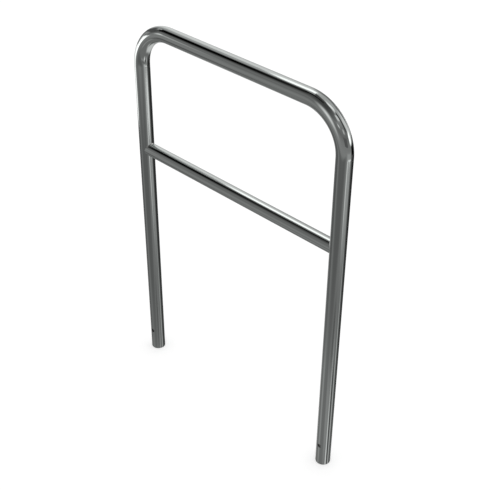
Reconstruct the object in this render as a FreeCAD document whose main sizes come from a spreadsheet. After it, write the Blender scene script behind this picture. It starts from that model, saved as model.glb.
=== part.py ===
"""Hoop bike rack: a stainless tube bent to an upside-down U, with a smaller rail across it.

The legs' roots are cast into concrete footings, with an anchor bar through the cross holes
near the feet. The rail's ends are coped to the legs, like a fish's mouth, and a bead of weld
runs round each of them.

Frame: origin at ground level, midway between the two legs, +X from the left leg to the right
one, +Y through the hoop, +Z up. The roots are below it. Millimetres.
"""
import FreeCAD
import Part
import math
import os
import Sketcher

V = FreeCAD.Vector

# a sketch numbers its own axes down from -1, and the points of an edge up from 1
X_AXIS, Y_AXIS = range(-1, -3, -1)
START, END, CENTRE = range(1, 4)
ORIGIN = (X_AXIS, START)

# how close, in mm, two places are that are the same place
SAME_PLACE = 0.01

# the least share of its piece that a cut takes away
CUT_SHARE = 1e-4

DRIVING_SIZES = [
    ("leg_spacing", 800, "between the centre lines of the two legs"),
    ("height_above_ground", 876, "from ground level to the top of the hoop"),
    ("root_depth", 400, "from ground level down to the feet"),
    ("tube_diameter", 48.3, "outside of the hoop's tube"),
    ("tube_wall", 3, "of the hoop's tube"),
    ("bend_radius", 130, "of the centre line in both bends"),
    ("end_chamfer", 0.5, "on the sawn rims of the legs"),
    ("anchor_hole_diameter", 14, "of the cross holes, for a 12 mm bar"),
    ("anchor_hole_height", 80, "from the feet to the centres of the cross holes"),
    ("rail_height", 432, "from ground level to the rail's centre line"),
    ("rail_diameter", 42.4, "outside of the rail's tube"),
    ("rail_wall", 2.6, "of the rail's tube"),
    ("cope_clearance", 0.2, "fit-up gap between a coped rail end and its leg"),
    ("weld_leg", 2.5, "reach of a weld bead along the leg and along the rail"),
    ("weld_toe", 0.5, "thickness of a bead at its two edges"),
]


def fill_sheet(doc):
    """Each driving size gets a row of its own: its alias, its value and what it measures."""
    sheet = doc.addObject("Spreadsheet::Sheet", "Sizes")
    for row, (alias, value, meaning) in enumerate(DRIVING_SIZES, start=1):
        sheet.set(f"A{row}", alias)
        sheet.set(f"B{row}", str(value))
        sheet.setAlias(f"B{row}", alias)
        sheet.set(f"C{row}", meaning)
    doc.recompute()
    return sheet


def new_body(doc, label):
    body = doc.addObject("PartDesign::Body", label)
    body.Label = label
    return body


def new_sketch(body, name, role):
    """A sketch on one of the body's own origin planes."""
    sketch = body.newObject("Sketcher::SketchObject", name)
    plane = next(f for f in body.Origin.OriginFeatures if f.Role == role)
    sketch.AttachmentSupport = [(plane, "")]
    sketch.MapMode = "FlatFace"
    return sketch


def dimension(sketch, name, expression, kind, *where):
    """Add a named dimension with its present value, then bind it to the sheet."""
    value = float(sketch.evalExpression(expression))
    index = sketch.addConstraint(Sketcher.Constraint(kind, *where, value))
    sketch.renameConstraint(index, name)
    sketch.setExpression(f"Constraints.{name}", expression)


def draw_circle(sketch, name, centre, diameter):
    """A circle whose centre (x, y) and diameter are expressions. A coordinate of "0" keeps
    the centre on the sketch's own axis."""
    x, y, across = (float(sketch.evalExpression(text)) for text in (*centre, diameter))
    circle = sketch.addGeometry(Part.Circle(V(x, y, 0), V(0, 0, 1), across / 2))
    middle = (circle, CENTRE)
    zero_lines = (Y_AXIS, X_AXIS)
    for letter, place, text, zero_line in zip("XY", (x, y), centre, zero_lines):
        if text == "0":
            on_axis = Sketcher.Constraint("PointOnObject", *middle, zero_line)
            sketch.addConstraint(on_axis)
            continue
        # a distance is never negative, so it runs towards the centre or back from it
        if place > 0:
            span = (*ORIGIN, *middle)
            length = text
        else:
            span = (*middle, *ORIGIN)
            length = f"-({text})"
        dimension(sketch, f"{name}_{letter}", length, f"Distance{letter}", *span)
    dimension(sketch, f"{name}_diameter", diameter, "Diameter", circle)


def draw_centre_line(sketch, sheet):
    """The hoop's centre line: up the left leg, over both bends and down the right leg."""
    half = sheet.leg_spacing / 2
    foot = -sheet.root_depth
    top = sheet.height_above_ground - sheet.tube_diameter / 2
    bend = sheet.bend_radius
    shoulder = top - bend
    left_centre = V(bend - half, shoulder, 0)
    right_centre = V(half - bend, shoulder, 0)
    up = V(0, 0, 1)
    left_leg, left_bend, top_run, right_bend, right_leg = sketch.addGeometry(
        [
            Part.LineSegment(V(-half, foot, 0), V(-half, shoulder, 0)),
            Part.ArcOfCircle(Part.Circle(left_centre, up, bend), math.pi / 2, math.pi),
            Part.LineSegment(V(bend - half, top, 0), V(half - bend, top, 0)),
            Part.ArcOfCircle(Part.Circle(right_centre, up, bend), 0, math.pi / 2),
            Part.LineSegment(V(half, shoulder, 0), V(half, foot, 0)),
        ]
    )
    # an arc runs anticlockwise, so each bend starts at its right-hand end
    left_foot = (left_leg, START)
    right_foot = (right_leg, END)
    sketch.addConstraint(
        [
            Sketcher.Constraint("Tangent", left_leg, END, left_bend, END),
            Sketcher.Constraint("Tangent", left_bend, START, top_run, START),
            Sketcher.Constraint("Tangent", top_run, END, right_bend, END),
            Sketcher.Constraint("Tangent", right_bend, START, right_leg, START),
            Sketcher.Constraint("Vertical", left_leg),
            Sketcher.Constraint("Vertical", right_leg),
            Sketcher.Constraint("Horizontal", top_run),
            Sketcher.Constraint("Equal", left_bend, right_bend),
            Sketcher.Constraint("Symmetric", *left_foot, *right_foot, Y_AXIS),
        ]
    )
    feet = (*left_foot, *right_foot)
    below_ground = (*left_foot, *ORIGIN)
    above_ground = (*ORIGIN, top_run, START)
    rise = "Sizes.height_above_ground - Sizes.tube_diameter / 2"
    dimension(sketch, "spacing", "Sizes.leg_spacing", "DistanceX", *feet)
    dimension(sketch, "root", "Sizes.root_depth", "DistanceY", *below_ground)
    dimension(sketch, "rise", rise, "DistanceY", *above_ground)
    dimension(sketch, "bend", "Sizes.bend_radius", "Radius", left_bend)


def cut_right_through(body, name, sketch):
    """Pocket a sketch through the whole body, to both sides of its plane."""
    whole = body.Shape.Volume
    pocket = body.newObject("PartDesign::Pocket", name)
    pocket.Profile = sketch
    pocket.Type = "ThroughAll"
    pocket.SideType = "Symmetric"
    body.Document.recompute()
    if math.isclose(pocket.Shape.Volume, whole, rel_tol=CUT_SHARE):
        raise RuntimeError(f"{name} took nothing from {body.Label}")
    return pocket


def edges_where(shape, test):
    return [f"Edge{n}" for n, edge in enumerate(shape.Edges, start=1) if test(edge)]


def make_hoop(doc, sheet):
    """One length of tube drawn round two bends, with its sawn rims deburred and a cross hole
    drilled through both walls near each foot."""
    body = new_body(doc, "hoop_tube")
    section = new_sketch(body, "tube_section", "XY_Plane")
    section.setExpression("AttachmentOffset.Base.z", "-Sizes.root_depth")
    left_foot = ("-Sizes.leg_spacing / 2", "0")
    draw_circle(section, "outside", left_foot, "Sizes.tube_diameter")
    draw_circle(section, "bore", left_foot, "Sizes.tube_diameter - 2 * Sizes.tube_wall")
    line = new_sketch(body, "centre_line", "XZ_Plane")
    draw_centre_line(line, sheet)

    tube = body.newObject("PartDesign::AdditivePipe", "bent_tube")
    tube.Profile = section
    tube.Spine = line
    doc.recompute()

    def at_the_feet(edge):
        return edge.BoundBox.ZMax + sheet.root_depth < SAME_PLACE

    rims = body.newObject("PartDesign::Chamfer", "deburred_rims")
    rims.Base = (tube, edges_where(tube.Shape, at_the_feet))
    rims.setExpression("Size", "Sizes.end_chamfer")
    doc.recompute()

    holes = new_sketch(body, "anchor_holes", "XZ_Plane")
    for name, sign in (("left", "-"), ("right", "")):
        height = "Sizes.anchor_hole_height - Sizes.root_depth"
        centre = (f"{sign}Sizes.leg_spacing / 2", height)
        draw_circle(holes, name, centre, "Sizes.anchor_hole_diameter")
    doc.recompute()
    cut_right_through(body, "drilled_holes", holes)
    return body


def make_rail(doc):
    """A straight length of tube, cut at each end by a hole saw a little wider than the leg."""
    body = new_body(doc, "mid_rail")
    section = new_sketch(body, "rail_section", "YZ_Plane")
    middle = ("0", "Sizes.rail_height")
    draw_circle(section, "outside", middle, "Sizes.rail_diameter")
    draw_circle(section, "bore", middle, "Sizes.rail_diameter - 2 * Sizes.rail_wall")
    doc.recompute()

    blank = body.newObject("PartDesign::Pad", "sawn_length")
    blank.Profile = section
    blank.SideType = "Symmetric"
    blank.setExpression("Length", "Sizes.leg_spacing")
    doc.recompute()

    saw = new_sketch(body, "hole_saw", "XY_Plane")
    cut = "Sizes.tube_diameter + 2 * Sizes.cope_clearance"
    draw_circle(saw, "left_cope", ("-Sizes.leg_spacing / 2", "0"), cut)
    draw_circle(saw, "right_cope", ("Sizes.leg_spacing / 2", "0"), cut)
    doc.recompute()
    cut_right_through(body, "coped_ends", saw)
    return body


def make_left_weld(doc, sheet):
    """The bead round the rail's left end. It starts as a sleeve on the rail, all of it is
    cut away but what lies within the weld's reach of the leg, and its corner comes off."""
    body = new_body(doc, "left_rail_weld")
    section = new_sketch(body, "sleeve_section", "YZ_Plane")
    middle = ("0", "Sizes.rail_height")
    draw_circle(section, "outside", middle, "Sizes.rail_diameter + 2 * Sizes.weld_leg")
    draw_circle(section, "on_the_rail", middle, "Sizes.rail_diameter")
    doc.recompute()

    sleeve = body.newObject("PartDesign::Pad", "sleeve")
    sleeve.Profile = section
    sleeve.Reversed = True
    sleeve.setExpression("Length", "Sizes.leg_spacing / 2")
    doc.recompute()

    trim = new_sketch(body, "trim_to_the_leg", "XY_Plane")
    leg = ("-Sizes.leg_spacing / 2", "0")
    draw_circle(trim, "on_the_leg", leg, "Sizes.tube_diameter")
    draw_circle(trim, "outside", leg, "Sizes.tube_diameter + 2 * Sizes.weld_leg")
    draw_circle(trim, "past_the_sleeve", leg, "2 * Sizes.leg_spacing")
    doc.recompute()
    bead = cut_right_through(body, "trimmed_sleeve", trim)

    def on_outer_corner(edge):
        """Is this edge a weld's reach away from both tubes?"""
        point = edge.valueAt((edge.FirstParameter + edge.LastParameter) / 2)
        from_leg = math.hypot(point.x + sheet.leg_spacing / 2, point.y)
        from_rail = math.hypot(point.y, point.z - sheet.rail_height)
        past_leg = from_leg - sheet.tube_diameter / 2 - sheet.weld_leg
        past_rail = from_rail - sheet.rail_diameter / 2 - sheet.weld_leg
        return max(abs(past_leg), abs(past_rail)) < SAME_PLACE

    face = body.newObject("PartDesign::Chamfer", "mitred_face")
    face.Base = (bead, edges_where(bead.Shape, on_outer_corner))
    face.setExpression("Size", "Sizes.weld_leg - Sizes.weld_toe")
    doc.recompute()
    return body


def make_right_weld(doc, left_weld):
    """The same bead at the other end, mirrored through the middle of the hoop."""
    weld = doc.addObject("Part::Mirroring", "right_rail_weld")
    weld.Label = "right_rail_weld"
    weld.Source = left_weld
    weld.Normal = V(1, 0, 0)
    doc.recompute()
    return weld


def check(doc, pieces):
    """Stop if any object of the document failed, a sketch is loose or a piece isn't one
    sound solid."""
    for thing in doc.Objects:
        if "Invalid" in thing.State or "Error" in thing.State:
            raise RuntimeError(f"{thing.Label} failed: {thing.State}")
        if thing.TypeId == "Sketcher::SketchObject" and not thing.FullyConstrained:
            raise RuntimeError(f"{thing.Label} isn't fully constrained")
    for piece in pieces:
        shape = piece.Shape
        if shape.isNull() or not shape.isValid() or len(shape.Solids) != 1:
            raise RuntimeError(f"{piece.Label} isn't one sound solid")
        print(f"{piece.Label}: {shape.Volume / 1000:.2f} cm3")


doc = FreeCAD.newDocument("hoop_bike_rack")
sheet = fill_sheet(doc)
left_weld = make_left_weld(doc, sheet)
pieces = [
    make_hoop(doc, sheet),
    make_rail(doc),
    left_weld,
    make_right_weld(doc, left_weld),
]
check(doc, pieces)
os.makedirs("parts", exist_ok=True)
for piece in pieces:
    piece.Shape.exportStep(f"parts/{piece.Label}.step")
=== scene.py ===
"""Hoop bike rack in polished stainless tube: the finished look of its two tubes and two welds.

The origin is at ground level midway between the legs, +X runs from the left leg to the right
one, +Y goes through the hoop and +Z is up. Sizes are in metres.
"""
import math

import bmesh
import bpy
from mathutils import Matrix, Vector


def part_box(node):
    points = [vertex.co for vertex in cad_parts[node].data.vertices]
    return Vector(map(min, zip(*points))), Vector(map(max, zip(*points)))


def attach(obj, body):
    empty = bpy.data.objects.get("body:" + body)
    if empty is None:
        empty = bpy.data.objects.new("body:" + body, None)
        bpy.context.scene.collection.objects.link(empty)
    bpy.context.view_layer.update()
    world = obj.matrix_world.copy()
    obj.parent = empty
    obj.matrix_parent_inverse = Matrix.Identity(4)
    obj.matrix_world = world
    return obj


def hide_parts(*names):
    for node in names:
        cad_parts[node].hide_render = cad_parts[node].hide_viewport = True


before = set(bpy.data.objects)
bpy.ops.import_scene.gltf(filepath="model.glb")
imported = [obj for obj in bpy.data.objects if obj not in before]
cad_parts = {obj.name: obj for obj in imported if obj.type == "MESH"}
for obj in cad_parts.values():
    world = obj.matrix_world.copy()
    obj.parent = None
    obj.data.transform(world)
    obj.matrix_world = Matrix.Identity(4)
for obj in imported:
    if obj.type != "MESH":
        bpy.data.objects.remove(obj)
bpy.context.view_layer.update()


# Hoop tube
# One length of welded stainless tube, bent cold round a former at two corners, belt-polished
# outside and left dull inside. Both ends are sawn square and deburred, and a hole for an anchor
# bar is drilled through both walls of each leg near its foot.
hoop_low, hoop_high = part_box("hoop_tube")
TUBE_RADIUS = 0.0483 / 2
TUBE_WALL = 0.003
BEND_RADIUS = 0.130
HOLE_RADIUS = 0.007
HOLE_ABOVE_FOOT = 0.080
DEBURR = 0.0005
DEBURR_STEPS = 3
ROUND_STEPS = 128
BEND_STEPS = 64
HOLE_STEPS = 48
HOLE_RING_SPACING = 0.0015
TUBE_CREASE = math.radians(28)
# The leg's first ring runs this far above its foot, clear of the rounded rim. What lies nearer
# than SAME_WALL to the radius of a wall belongs to that wall.
FOOT_RING = 4 * DEBURR
SAME_WALL = 0.3 * DEBURR
LEG_X = hoop_high.x - TUBE_RADIUS
FOOT_Z = hoop_low.z
TOP_Z = hoop_high.z - TUBE_RADIUS
BEND_X = LEG_X - BEND_RADIUS
BEND_Z = TOP_Z - BEND_RADIUS
HOLE_Z = FOOT_Z + HOLE_ABOVE_FOOT
LEG_LENGTH = BEND_Z - FOOT_Z
BEND_LENGTH = BEND_RADIUS * math.pi / 2
HOOP_LENGTH = 2 * (LEG_LENGTH + BEND_LENGTH + BEND_X)


def finish_editing():
    """Merges doubles, turns every face outwards and leaves edit mode."""
    bpy.ops.mesh.select_all(action="SELECT")
    bpy.ops.mesh.remove_doubles(threshold=1e-6)
    bpy.ops.mesh.normals_make_consistent(inside=False)
    bpy.ops.object.mode_set(mode="OBJECT")


def apply_modifier(piece, kind, **settings):
    """Adds a modifier to the piece and applies it."""
    modifier = piece.modifiers.new(kind.lower(), kind)
    for name, value in settings.items():
        setattr(modifier, name, value)
    bpy.context.view_layer.objects.active = piece
    bpy.ops.object.modifier_apply(modifier=modifier.name)


def select_edges(piece, wanted):
    """In edit mode, selects the edges whose two ends pass the test, and nothing else."""
    bpy.ops.mesh.select_mode(type="EDGE")
    bpy.ops.mesh.select_all(action="DESELECT")
    mesh = bmesh.from_edit_mesh(piece.data)
    for edge in mesh.edges:
        edge.select = wanted(*(corner.co for corner in edge.verts))
    mesh.select_flush(True)
    bmesh.update_edit_mesh(piece.data)


def extrude_by(*step):
    """Extrudes the selected ring of edges by a step."""
    bpy.ops.mesh.extrude_region_move(TRANSFORM_OT_translate={"value": step})


def extrude_up_to(heights):
    """Extrudes the selected ring from the first height through the others."""
    for start, end in zip(heights, heights[1:]):
        extrude_by(0, 0, end - start)


def place_on_hoop(point):
    """How far a point lies along the hoop from its left foot, and its offset from the centre
    line towards the outside of the hoop."""
    side = math.copysign(1, point.x)
    across = side * point.x - BEND_X
    if point.z < BEND_Z:
        along, outwards = point.z - FOOT_Z, side * point.x - LEG_X
    elif across < 0:
        along, outwards = LEG_LENGTH + BEND_LENGTH - across, point.z - TOP_Z
    else:
        turn = math.atan2(point.z - BEND_Z, across)
        along = LEG_LENGTH + BEND_RADIUS * turn
        outwards = math.hypot(point.z - BEND_Z, across) - BEND_RADIUS
    return (along if side < 0 else HOOP_LENGTH - along), outwards


def lay_tube_map(piece, radius, place):
    """Gives the piece a UV map in metres: the first number runs round the tube, the second
    along it, so that marks of drawing and polishing follow the bends."""
    layer = piece.data.uv_layers.new(name="tube")
    for face in piece.data.polygons:
        first = None
        for loop in face.loop_indices:
            point = piece.data.vertices[piece.data.loops[loop].vertex_index].co
            along, outwards = place(point)
            turn = math.atan2(point.y, outwards)
            if first is None:
                first = turn
            turn += round((first - turn) / math.tau) * math.tau
            layer.data[loop].uv = (turn * radius, along)


def finish_tube(piece, radius, wall, offset_of, materials):
    """Smooths the tube and gives its outside, its bore and its cut faces their materials."""
    outside, bore, cut = range(3)
    for material in materials:
        piece.data.materials.append(material)
    for face in piece.data.polygons:
        corners = [piece.data.vertices[v].co for v in face.vertices]
        centre = sum(corners, Vector()) / len(corners)
        distance = math.hypot(offset_of(centre), centre.y)
        if abs(distance - radius) < SAME_WALL:
            face.material_index = outside
        elif abs(distance - radius + wall) < SAME_WALL:
            face.material_index = bore
        else:
            face.material_index = cut
    bpy.ops.object.shade_smooth_by_angle(angle=TUBE_CREASE)


# Close rings where the holes are drilled keep the cut's small faces off the rest of the leg.
hole_rings = round(2 * HOLE_RADIUS / HOLE_RING_SPACING)
hole_band = [HOLE_Z + HOLE_RING_SPACING * (k - hole_rings) for k in range(2 * hole_rings + 1)]
leg_heights = [FOOT_Z, FOOT_Z + FOOT_RING, *hole_band, BEND_Z]

bpy.ops.object.select_all(action="DESELECT")
bpy.ops.mesh.primitive_circle_add(
    vertices=ROUND_STEPS, radius=TUBE_RADIUS, location=(-LEG_X, 0, FOOT_Z)
)
hoop = bpy.context.object
hoop.name = "hoop_tube_polished"
bpy.ops.object.transform_apply(location=True, rotation=True, scale=True)
bpy.ops.object.mode_set(mode="EDIT")
extrude_up_to(leg_heights)
bpy.ops.mesh.spin(
    steps=BEND_STEPS, angle=-math.pi / 2, center=(-BEND_X, 0, BEND_Z), axis=(0, 1, 0)
)
extrude_by(2 * BEND_X, 0, 0)
bpy.ops.mesh.spin(
    steps=BEND_STEPS, angle=-math.pi / 2, center=(BEND_X, 0, BEND_Z), axis=(0, 1, 0)
)
extrude_up_to(leg_heights[::-1])
finish_editing()
apply_modifier(hoop, "SOLIDIFY", thickness=TUBE_WALL, offset=-1, use_even_offset=True)


def from_leg_line(point):
    """How far a point lies from the centre line of its leg."""
    return math.hypot(abs(point.x) - LEG_X, point.y)


def around_foot(a, b):
    """Whether an edge runs round the rim of a foot, outside or inside, and not across it."""
    at_foot = max(a.z, b.z) < FOOT_Z + DEBURR
    return at_foot and abs(from_leg_line(a) - from_leg_line(b)) < SAME_WALL


bpy.ops.object.mode_set(mode="EDIT")
select_edges(hoop, around_foot)
bpy.ops.mesh.bevel(offset=DEBURR, segments=DEBURR_STEPS, affect="EDGES")
finish_editing()

for side in (-1, 1):
    bpy.ops.object.select_all(action="DESELECT")
    bpy.ops.mesh.primitive_cylinder_add(
        vertices=HOLE_STEPS, radius=HOLE_RADIUS, depth=4 * TUBE_RADIUS,
        location=(side * LEG_X, 0, HOLE_Z), rotation=(math.pi / 2, 0, 0)
    )
    drill = bpy.context.object
    apply_modifier(hoop, "BOOLEAN", operation="DIFFERENCE", object=drill, solver="EXACT")
    bpy.data.objects.remove(drill)


def linear(hex_colour):
    """An sRGB hex colour as linear red, green, blue and alpha."""
    shades = [int(hex_colour[i:i + 2], 16) / 255 for i in (1, 3, 5)]
    return [s / 12.92 if s <= 0.04045 else ((s + 0.055) / 1.055) ** 2.4 for s in shades] + [1]


def new_material(name):
    """A material of that name with an empty node tree."""
    material = bpy.data.materials.new(name)
    material.use_nodes = True
    material.node_tree.nodes.clear()
    return material


def add_node(tree, kind, inputs=None, **settings):
    """Adds a node with its settings; an input is a value or another node's output."""
    node = tree.nodes.new("ShaderNode" + kind)
    for name, value in settings.items():
        setattr(node, name, value)
    for name, value in (inputs or {}).items():
        if isinstance(value, bpy.types.NodeSocket):
            tree.links.new(value, node.inputs[name])
        else:
            node.inputs[name].default_value = value
    return node


def polished_stainless():
    """Type 304 stainless tube, belt-polished: a near mirror with a faint grain round the tube,
    and a surface that drawing and straightening have left very slightly uneven."""
    # The grain's lines are 12.5 mm long and 1 mm apart. The belt's own are finer, and are drawn
    # coarser so that they show. The waves are 25 mm round the tube by 200 mm along it, 0.04 mm
    # deep, and the clouds in the tone are 50 by 70 mm.
    material = new_material("belt_polished_stainless")
    tree = material.node_tree
    tube = add_node(tree, "UVMap", uv_map="tube").outputs["UV"]
    grain = add_node(tree, "Mapping", {"Vector": tube, "Scale": (80, 1000, 1)}).outputs["Vector"]
    grain = add_node(tree, "TexNoise", {"Vector": grain, "Scale": 1, "Detail": 3}).outputs["Fac"]
    waves = add_node(tree, "Mapping", {"Vector": tube, "Scale": (40, 5, 1)}).outputs["Vector"]
    waves = add_node(tree, "TexNoise", {"Vector": waves, "Scale": 1, "Detail": 1}).outputs["Fac"]
    cloud = add_node(tree, "Mapping", {"Vector": tube, "Scale": (20, 14, 1)}).outputs["Vector"]
    cloud = add_node(tree, "TexNoise", {"Vector": cloud, "Scale": 1, "Detail": 4}).outputs["Fac"]
    bump = add_node(tree, "Bump", {"Height": waves, "Distance": 0.00004, "Strength": 1})
    bump = add_node(tree, "Bump", {"Height": grain, "Distance": 0.000001, "Strength": 1,
                                   "Normal": bump.outputs["Normal"]})
    colour = add_node(tree, "MixRGB", {"Fac": cloud, "Color1": linear("#cbcfcd"),
                                       "Color2": linear("#d0d4d2")})
    roughness = add_node(tree, "MapRange", {"Value": grain, "To Min": 0.03, "To Max": 0.09})
    metal = add_node(tree, "BsdfPrincipled", {
        "Base Color": colour.outputs["Color"], "Metallic": 1,
        "Roughness": roughness.outputs["Result"], "Normal": bump.outputs["Normal"]})
    add_node(tree, "OutputMaterial", {"Surface": metal.outputs["BSDF"]})
    return material


def mill_finish():
    """The bore of welded tube as it leaves the mill: dull grey, lightly mottled by the pickling
    bath in patches 11 mm across."""
    material = new_material("mill_finish_bore")
    tree = material.node_tree
    place = add_node(tree, "TexCoord").outputs["Object"]
    mottle = add_node(tree, "TexNoise", {"Vector": place, "Scale": 90, "Detail": 5}).outputs["Fac"]
    colour = add_node(tree, "MixRGB", {"Fac": mottle, "Color1": linear("#c4c5c3"),
                                       "Color2": linear("#d8d9d7")})
    roughness = add_node(tree, "MapRange", {"Value": mottle, "To Min": 0.5, "To Max": 0.7})
    bump = add_node(tree, "Bump", {"Height": mottle, "Distance": 0.0001, "Strength": 0.6})
    metal = add_node(tree, "BsdfPrincipled", {
        "Base Color": colour.outputs["Color"], "Metallic": 1,
        "Roughness": roughness.outputs["Result"], "Normal": bump.outputs["Normal"]})
    add_node(tree, "OutputMaterial", {"Surface": metal.outputs["BSDF"]})
    return material


def sawn_and_deburred():
    """Bare steel where the saw or the drill went through: parallel marks, half dull. A fine
    blade's marks are drawn coarser, 0.55 mm apart and 17 mm long, so that they show."""
    material = new_material("sawn_stainless_edge")
    tree = material.node_tree
    place = add_node(tree, "TexCoord").outputs["Object"]
    marks = add_node(tree, "Mapping", {"Vector": place, "Scale": (60, 1800, 1800)})
    marks = add_node(tree, "TexNoise", {"Vector": marks.outputs["Vector"], "Scale": 1,
                                        "Detail": 2}).outputs["Fac"]
    colour = add_node(tree, "MixRGB", {"Fac": marks, "Color1": linear("#a9aaa8"),
                                       "Color2": linear("#c4c5c3")})
    roughness = add_node(tree, "MapRange", {"Value": marks, "To Min": 0.28, "To Max": 0.45})
    bump = add_node(tree, "Bump", {"Height": marks, "Distance": 0.00005, "Strength": 0.8})
    metal = add_node(tree, "BsdfPrincipled", {
        "Base Color": colour.outputs["Color"], "Metallic": 1,
        "Roughness": roughness.outputs["Result"], "Normal": bump.outputs["Normal"]})
    add_node(tree, "OutputMaterial", {"Surface": metal.outputs["BSDF"]})
    return material


tube_materials = (polished_stainless(), mill_finish(), sawn_and_deburred())
bpy.ops.object.select_all(action="DESELECT")
hoop.select_set(True)
bpy.context.view_layer.objects.active = hoop
lay_tube_map(hoop, TUBE_RADIUS, place_on_hoop)
finish_tube(hoop, TUBE_RADIUS, TUBE_WALL, lambda point: place_on_hoop(point)[1], tube_materials)
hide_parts("hoop_tube")
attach(hoop, "root")


# Mid rail
# A straight length of 42.4 by 2.6 mm tube from the same mill, polished the same way. Each end
# is coped, cut to a saddle, so that it sits round its leg with a hair of room for the weld.
rail_low, rail_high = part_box("mid_rail")
RAIL_Z = (rail_low.z + rail_high.z) / 2
RAIL_RADIUS = (rail_high.z - rail_low.z) / 2
RAIL_WALL = 0.0026
COPE_CLEARANCE = 0.0002


def from_leg_axis(across, radius):
    """How far from a leg's axis, towards the rail, a cylinder of that radius round the axis
    lies at a place across it."""
    return math.sqrt(radius ** 2 - across ** 2)


bpy.ops.object.select_all(action="DESELECT")
bpy.ops.mesh.primitive_circle_add(
    vertices=ROUND_STEPS, radius=RAIL_RADIUS, location=(-LEG_X, 0, RAIL_Z),
    rotation=(0, math.pi / 2, 0)
)
rail = bpy.context.object
rail.name = "mid_rail_polished"
bpy.ops.object.transform_apply(location=True, rotation=True, scale=True)
bpy.ops.object.mode_set(mode="EDIT")
rail_stops = [-LEG_X, -LEG_X + 2 * TUBE_RADIUS, LEG_X - 2 * TUBE_RADIUS, LEG_X]
for start, end in zip(rail_stops, rail_stops[1:]):
    extrude_by(end - start, 0, 0)
finish_editing()
apply_modifier(rail, "SOLIDIFY", thickness=RAIL_WALL, offset=-1, use_even_offset=True)
# The rings at both ends, on the legs' centre lines so far, are drawn back to the cope's saddle.
for vertex in rail.data.vertices:
    if abs(vertex.co.x) > rail_stops[2] + TUBE_RADIUS:
        saddle = from_leg_axis(vertex.co.y, TUBE_RADIUS + COPE_CLEARANCE)
        vertex.co.x = math.copysign(LEG_X - saddle, vertex.co.x)


def place_on_rail(point):
    """How far a point lies along the rail, and how far above its centre line."""
    return point.x + LEG_X, point.z - RAIL_Z


lay_tube_map(rail, RAIL_RADIUS, place_on_rail)
finish_tube(rail, RAIL_RADIUS, RAIL_WALL, lambda point: point.z - RAIL_Z, tube_materials)
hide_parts("mid_rail")
# The legs in the photograph show no picture of the rail or of the welds, so neither is mirrored.
rail.visible_glossy = False
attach(rail, "root")


# Rail welds
# One bead of weld all round each end of the rail, laid with filler of the same steel. It is
# dressed down to a small even fillet and brushed, with the ripple of its puddles just left.
WELD_LEG = 0.0025
WELD_SINK = 0.0003
LEG_SINK_SHARE = 0.7
BACK_SHARE = 0.3
WELD_HOLLOW = 0.27
FACE_POINTS = 9
RIPPLE_SPACING = 0.0012
RIPPLE_DEPTH = 0.00002
STEPS_PER_RIPPLE = 6
WELD_CREASE = math.radians(40)
ripples = round(math.tau * RAIL_RADIUS / RIPPLE_SPACING)
section_points = FACE_POINTS + 3
weld_steps = ripples * STEPS_PER_RIPPLE


def weld_section(turn, share):
    """A point on the bead's face at that turn round the rail, from its toe on the rail (share 0)
    to its toe on the leg (share 1), and the corner between the tubes that the bead fills. Both
    are given as distance from the leg's axis, Y and height above the rail's axis."""
    out = Vector((0, math.cos(turn), math.sin(turn)))
    corner = RAIL_RADIUS * out
    corner.x = from_leg_axis(corner.y, TUBE_RADIUS)
    leg_normal = Vector((corner.x, corner.y, 0)).normalized()
    up_leg = (out - out.dot(leg_normal) * leg_normal).normalized()
    rail_toe = corner + Vector((WELD_LEG, 0, 0))
    leg_toe = corner + WELD_LEG * up_leg
    leg_toe.x = from_leg_axis(leg_toe.y, TUBE_RADIUS)
    ripple = RIPPLE_DEPTH * math.cos(turn * ripples)
    hollow = (WELD_HOLLOW * WELD_LEG + ripple) * math.sin(math.pi * share)
    face = rail_toe.lerp(leg_toe, share)
    return face + hollow * (corner - (rail_toe + leg_toe) / 2).normalized(), corner


def weld_point(turn, step):
    """A point of the bead's closed section: its face first, then three points of its back, which
    is sunk into the leg and the rail so that no gap shows."""
    if step < FACE_POINTS:
        return weld_section(turn, step / (FACE_POINTS - 1))[0]
    from_leg = Vector((1, 0, 0))
    from_rail = Vector((0, math.cos(turn), math.sin(turn)))
    toe, corner = weld_section(turn, 1 if step == FACE_POINTS else 0)
    root = corner - WELD_SINK * (from_leg + from_rail)
    if step == FACE_POINTS:
        return toe.lerp(root, BACK_SHARE) - LEG_SINK_SHARE * WELD_SINK * from_leg
    if step == FACE_POINTS + 1:
        return root
    return toe.lerp(root, BACK_SHARE) - WELD_SINK * from_rail


def dressed_weld():
    """Stainless weld metal, ground and brushed: satin, with brush marks all one way, 2 mm long
    and 0.4 mm apart, and a last trace of straw colour in patches 7 mm across."""
    material = new_material("dressed_stainless_weld")
    tree = material.node_tree
    place = add_node(tree, "TexCoord").outputs["Object"]
    marks = add_node(tree, "Mapping", {"Vector": place, "Scale": (2500, 500, 500)})
    marks = add_node(tree, "TexNoise", {"Vector": marks.outputs["Vector"], "Scale": 1,
                                        "Detail": 2}).outputs["Fac"]
    tint = add_node(tree, "TexNoise", {"Vector": place, "Scale": 140, "Detail": 2}).outputs["Fac"]
    colour = add_node(tree, "MixRGB", {"Fac": tint, "Color1": linear("#c6c5c0"),
                                       "Color2": linear("#cfd1cf")})
    roughness = add_node(tree, "MapRange", {"Value": marks, "To Min": 0.10, "To Max": 0.20})
    bump = add_node(tree, "Bump", {"Height": marks, "Distance": 0.000002, "Strength": 1})
    metal = add_node(tree, "BsdfPrincipled", {
        "Base Color": colour.outputs["Color"], "Metallic": 1,
        "Roughness": roughness.outputs["Result"], "Normal": bump.outputs["Normal"]})
    add_node(tree, "OutputMaterial", {"Surface": metal.outputs["BSDF"]})
    return material


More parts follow.
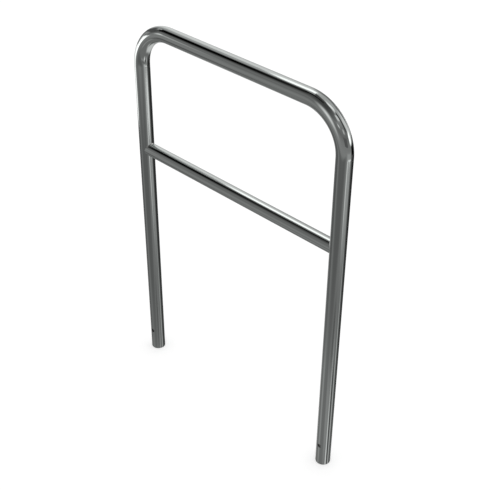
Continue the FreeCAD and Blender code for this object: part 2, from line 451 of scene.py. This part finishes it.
weld_material = dressed_weld()
for node, side in (("left_rail_weld", -1), ("right_rail_weld", 1)):
    bpy.ops.object.select_all(action="DESELECT")
    bpy.ops.mesh.primitive_torus_add(
        major_radius=RAIL_RADIUS, minor_radius=WELD_LEG,
        major_segments=weld_steps, minor_segments=section_points
    )
    weld = bpy.context.object
    weld.name = node + "_bead"
    for vertex in weld.data.vertices:
        turn = math.tau * (vertex.index // section_points) / weld_steps
        point = weld_point(turn, vertex.index % section_points)
        vertex.co = (side * (LEG_X - point.x), point.y, RAIL_Z + point.z)
    bpy.ops.object.mode_set(mode="EDIT")
    finish_editing()
    weld.data.materials.append(weld_material)
    bpy.ops.object.shade_smooth_by_angle(angle=WELD_CREASE)
    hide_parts(node)
    weld.visible_glossy = False
    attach(weld, "root")


# Floor and background
# A plain white floor that runs out into a plain white background, lit by the world alone. The
# floor glows a little, so that it is as white as the background and keeps a soft shadow.
FLOOR_SIZE = 60
FLOOR_GLOW = 0.42
WORLD_LIGHT = 0.72
WORLD_SHOWN = 1.0


def shown_directly(tree):
    """1 for camera, glossy and transmission rays, and 0 for those that light things."""
    path = add_node(tree, "LightPath").outputs
    shown = add_node(tree, "Math", {0: path["Is Camera Ray"], 1: path["Is Glossy Ray"]},
                     operation="MAXIMUM").outputs[0]
    return add_node(tree, "Math", {0: shown, 1: path["Is Transmission Ray"]},
                    operation="MAXIMUM").outputs[0]


bpy.ops.object.select_all(action="DESELECT")
bpy.ops.mesh.primitive_plane_add(size=FLOOR_SIZE, location=(0, 0, FOOT_Z))
floor = bpy.context.object
floor.name = "floor"
floor_material = new_material("white_floor")
tree = floor_material.node_tree
paint = add_node(tree, "BsdfDiffuse", {"Color": linear("#f3f3f3")}).outputs["BSDF"]
lift = add_node(tree, "Math", {0: shown_directly(tree), 1: FLOOR_GLOW}, operation="MULTIPLY")
glow = add_node(tree, "Emission", {"Strength": lift.outputs[0]}).outputs["Emission"]
both = add_node(tree, "AddShader", {0: paint, 1: glow}).outputs[0]
add_node(tree, "OutputMaterial", {"Surface": both})
floor.data.materials.append(floor_material)
# The metal in the photograph mirrors a grey room and not this white ground.
floor.visible_glossy = False

world = bpy.data.worlds.new("white_world")
bpy.context.scene.world = world
world.use_nodes = True
world.node_tree.nodes.clear()
level = add_node(world.node_tree, "MapRange", {"Value": shown_directly(world.node_tree),
                                               "To Min": WORLD_LIGHT, "To Max": WORLD_SHOWN})
sky = add_node(world.node_tree, "Background", {"Color": (1, 1, 1, 1),
                                               "Strength": level.outputs["Result"]})
add_node(world.node_tree, "OutputWorld", {"Surface": sky.outputs["Background"]})


# Studio cards
# A grey tent stands round the rack, with flags, windows and lamps hung in it as flat cards. Only
# the metal shows them, and they give it the streaks of the photograph. They are so far away that
# each stands in the same direction from all of the rack, and each card hangs in front of the last.
TENT_RADIUS = 600
CARD_DISTANCE = 400
CARD_STEP = 0.96
# The tent's grey at shares of its height, from its bottom to its top. The greys follow a
# numerical fit to the brightness along the photograph's tubes, and weren't set by eye.
TENT_GREYS = (
    (0.0, 0.21), (0.18, 0.21), (0.33, 0.29), (0.47, 0.26),
    (0.6, 0.18), (0.75, 0.24), (0.9, 0.40), (1.0, 0.10),
)


def card_material(name, strength, edge):
    """Even light or dark of that strength, which fades out towards the card's four sides over
    that share of its size."""
    material = new_material(name)
    tree = material.node_tree
    place = add_node(tree, "TexCoord").outputs["UV"]
    place = add_node(tree, "SeparateXYZ", {"Vector": place}).outputs
    sides = []
    for axis in ("X", "Y"):
        half = add_node(tree, "Math", {0: place[axis], 1: 0.5}, operation="SUBTRACT").outputs[0]
        half = add_node(tree, "Math", {0: half}, operation="ABSOLUTE").outputs[0]
        sides.append(add_node(tree, "MapRange", {
            "Value": half, "From Min": 0.5, "From Max": 0.5 - edge}, interpolation_type="SMOOTHSTEP"))
    inside = add_node(tree, "Math", {0: sides[0].outputs[0], 1: sides[1].outputs[0]},
                      operation="MULTIPLY")
    clear = add_node(tree, "BsdfTransparent").outputs["BSDF"]
    shine = add_node(tree, "Emission", {"Strength": strength}).outputs["Emission"]
    mixed = add_node(tree, "MixShader", {0: inside.outputs[0], 1: clear, 2: shine})
    add_node(tree, "OutputMaterial", {"Surface": mixed.outputs[0]})
    return material


def only_in_metal(thing):
    """Shows a piece of the studio in reflections and nowhere else."""
    thing.visible_camera = thing.visible_diffuse = thing.visible_shadow = False
    thing.visible_transmission = thing.visible_volume_scatter = False


def towards(azimuth, elevation):
    """The direction at that azimuth, 0 towards -Y and 90 towards +X, and elevation."""
    a, e = math.radians(azimuth), math.radians(elevation)
    return Vector((math.sin(a) * math.cos(e), -math.cos(a) * math.cos(e), math.sin(e)))


def hang_card(name, azimuth, elevation, width, height, strength, edge=0.2, along_rails=False):
    """Hangs a card at an azimuth and elevation, as wide and high as those angles, facing the
    rack and in front of the cards hung before it. All angles are in degrees. Its width runs level
    or, where it goes along the rails, as near to the X axis as it can."""
    direction = towards(azimuth, elevation)
    distance = CARD_DISTANCE * CARD_STEP ** len(cards_hung)
    cards_hung.append(name)
    level = Vector((1, 0, 0)) if along_rails else Vector((0, 0, 1)).cross(direction)
    across = (level - level.dot(direction) * direction).normalized()
    axes = Matrix((across, across.cross(direction), -direction)).transposed()
    bpy.ops.mesh.primitive_plane_add(
        size=1, location=distance * direction, rotation=axes.to_euler()
    )
    card = bpy.context.object
    card.name = name
    card.scale = [2 * distance * math.tan(math.radians(a) / 2) for a in (width, height)] + [1]
    card.data.materials.append(card_material(name, strength, edge))
    only_in_metal(card)


bpy.ops.object.select_all(action="DESELECT")
bpy.ops.mesh.primitive_uv_sphere_add(segments=48, ring_count=24, radius=TENT_RADIUS)
tent = bpy.context.object
tent.name = "grey_tent"
tent_material = new_material("grey_tent")
tree = tent_material.node_tree
height = add_node(tree, "SeparateXYZ", {"Vector": add_node(tree, "TexCoord").outputs["Object"]})
shade = add_node(tree, "ValToRGB", {"Fac": add_node(tree, "MapRange", {
    "Value": height.outputs["Z"], "From Min": -TENT_RADIUS, "From Max": TENT_RADIUS}).outputs[0]})
ramp = shade.color_ramp
for stop, grey in TENT_GREYS:
    element = ramp.elements[0] if stop == 0.0 else ramp.elements.new(stop)
    element.position, element.color = stop, (grey, grey, grey, 1)
ramp.elements.remove(ramp.elements[-1])
glow = add_node(tree, "Emission", {"Color": shade.outputs["Color"], "Strength": 1})
add_node(tree, "OutputMaterial", {"Surface": glow.outputs["Emission"]})
tent.data.materials.append(tent_material)
only_in_metal(tent)

# The cards' numbers follow the same fit, and weren't set by eye either. Eleven cards were left
# out of its list, and the rest rounded, with no card moved by more than 3 degrees.
cards_hung = []

# The room: a dark ceiling, paler in one corner with a high window, and a dim wall on the left
# with a bright shelf on it.
hang_card("dark_ceiling", -20, 70, 115, 105, 0.07, edge=0.4)
hang_card("pale_corner", 160, 60, 80, 60, 0.5, edge=0.2)
hang_card("high_window", 125, 70, 25, 30, 1.1, edge=0.3)
hang_card("dim_left", -95, 5, 65, 40, 0.1, edge=0.1)
hang_card("left_shelf", -85, 30, 35, 10, 0.8, edge=0.4)

# The tall window behind the rack, with a softbox and a black flag hung over it. They light the
# tops of both rails, and the flag is the black line along them.
hang_card("back_window", -130, 25, 55, 145, 0.9, edge=0.5)
hang_card("grey_reflector", -100, 55, 35, 30, 0.45, edge=0.05, along_rails=True)
hang_card("top_softbox", -123, 56, 20, 25, 1.6, edge=0.05, along_rails=True)
hang_card("overhead_flag", -72, 39, 45, 42, 0, edge=0.35, along_rails=True)
hang_card("overhead_end", -40, 65, 40, 10, 0, edge=0.05, along_rails=True)

# The window low on the left: the white streak down the outside of the left bend.
hang_card("left_window_side", -130, -10, 30, 15, 0.35, edge=0.25)
hang_card("left_window", -80, -16, 36, 28, 1.4, edge=0.1)
hang_card("left_window_core", -65, -15, 20, 20, 2.0, edge=0.3)
hang_card("left_window_corner", -90, -5, 20, 20, 0.35, edge=0.1)
hang_card("left_shelf_end", -90, 35, 15, 8, 0.6, edge=0.4)
hang_card("left_low_dark", -80, 4, 36, 13, 0.35, edge=0.45)

# Panels in front: the soft light bands inside both bends.
hang_card("front_left_panel", -50, 5, 20, 20, 0.9, edge=0.5)
hang_card("front_panel", -5, 10, 40, 55, 0.95, edge=0.5)
hang_card("front_lamp", 45, 28, 18, 11, 0.9, edge=0.45)

# The right side: lamps on a dark wall, then a bright wall and a window, all for the right bend.
hang_card("right_shelf", 80, 50, 30, 15, 0.8, edge=0.25)
hang_card("right_dark", 110, 40, 20, 40, 0.08, edge=0.1)
hang_card("side_lamp", 78, 24, 22, 13, 0.6, edge=0.35)
hang_card("right_dark_low", 70, 4, 35, 17, 0.12, edge=0.05)
hang_card("right_wall", 145, 15, 40, 45, 0.8, edge=0.05)
hang_card("right_window", 130, 5, 35, 25, 1.9, edge=0.35)

# Black flags behind to the right, with a bright band of wall across their top: the dark line
# down the right of both legs.
hang_card("right_flag", 163, -29, 98, 62, 0.015, edge=0.5)
hang_card("black_flag", 146, -15, 36, 14, 0, edge=0.05)
hang_card("wall_band", -175, -5, 35, 8, 0.95, edge=0.05)

# The floor of that room: dark patches round a low lit strip, which the legs show as fine
# upright lines, and a glow at the back for the pale patch inside the left bend.
hang_card("floor_glow", -160, -70, 50, 65, 0.75, edge=0.3)
hang_card("floor_patch", 10, -34, 105, 22, 0.14, edge=0.4)
hang_card("floor_patch_left", -75, -35, 40, 15, 0.12, edge=0.05)
hang_card("floor_sheen", 95, -25, 55, 25, 0.4, edge=0.2)
hang_card("skirting_light", 102, -27.5, 38, 4.5, 0.95, edge=0.25)
hang_card("floor_light", 80, -50, 25, 25, 1.0, edge=0.5)
hang_card("floor_streak", 122, -44, 13, 34, 0.75, edge=0.5)
hang_card("floor_gap", 96, -45, 15, 8, 0.08, edge=0.2)
hang_card("near_lamp", 79, -30, 13, 12, 0.9, edge=0.5)
hang_card("left_floor_patch", -40, -45, 30, 10, 0.35, edge=0.3)
hang_card("left_rim_light", -120, -42, 40, 18, 0.4, edge=0.05)
hang_card("floor_tail", 60, -40, 25, 7, 0.13, edge=0.4)
hang_card("near_floor", 45, -45, 40, 8, 0.32, edge=0.35)
hang_card("floor_glow_far", -140, -35, 35, 20, 0.65, edge=0.2)
hang_card("floor_shade", 180, -40, 37, 29, 0.035, edge=0.5)
hang_card("left_floor_shade", -70, -45, 30, 30, 0.2, edge=0.5)


# Camera
# At the photograph's place: turned 45 degrees round the rack and looking down by 35 degrees, as
# an isometric view does. The lens is in millimetres, and the small shift frames the rack.
CAMERA_PLACE = Vector((1.7710, -1.7685, 2.0118))
CAMERA_TURN = math.radians(45)
CAMERA_DOWN = math.asin(1 / math.sqrt(3))
CAMERA_LENS = 72.86
CAMERA_SENSOR = 36
CAMERA_SHIFT = (0.0189, 0.0028)
camera_data = bpy.data.cameras.new("camera")
camera_data.lens = CAMERA_LENS
camera_data.sensor_width = CAMERA_SENSOR
camera_data.shift_x, camera_data.shift_y = CAMERA_SHIFT
camera = bpy.data.objects.new("camera", camera_data)
camera.location = CAMERA_PLACE
camera.rotation_euler = (math.pi / 2 - CAMERA_DOWN, 0, CAMERA_TURN)
bpy.context.scene.collection.objects.link(camera)
bpy.context.scene.camera = camera
bpy.context.scene.view_settings.view_transform = "Standard"
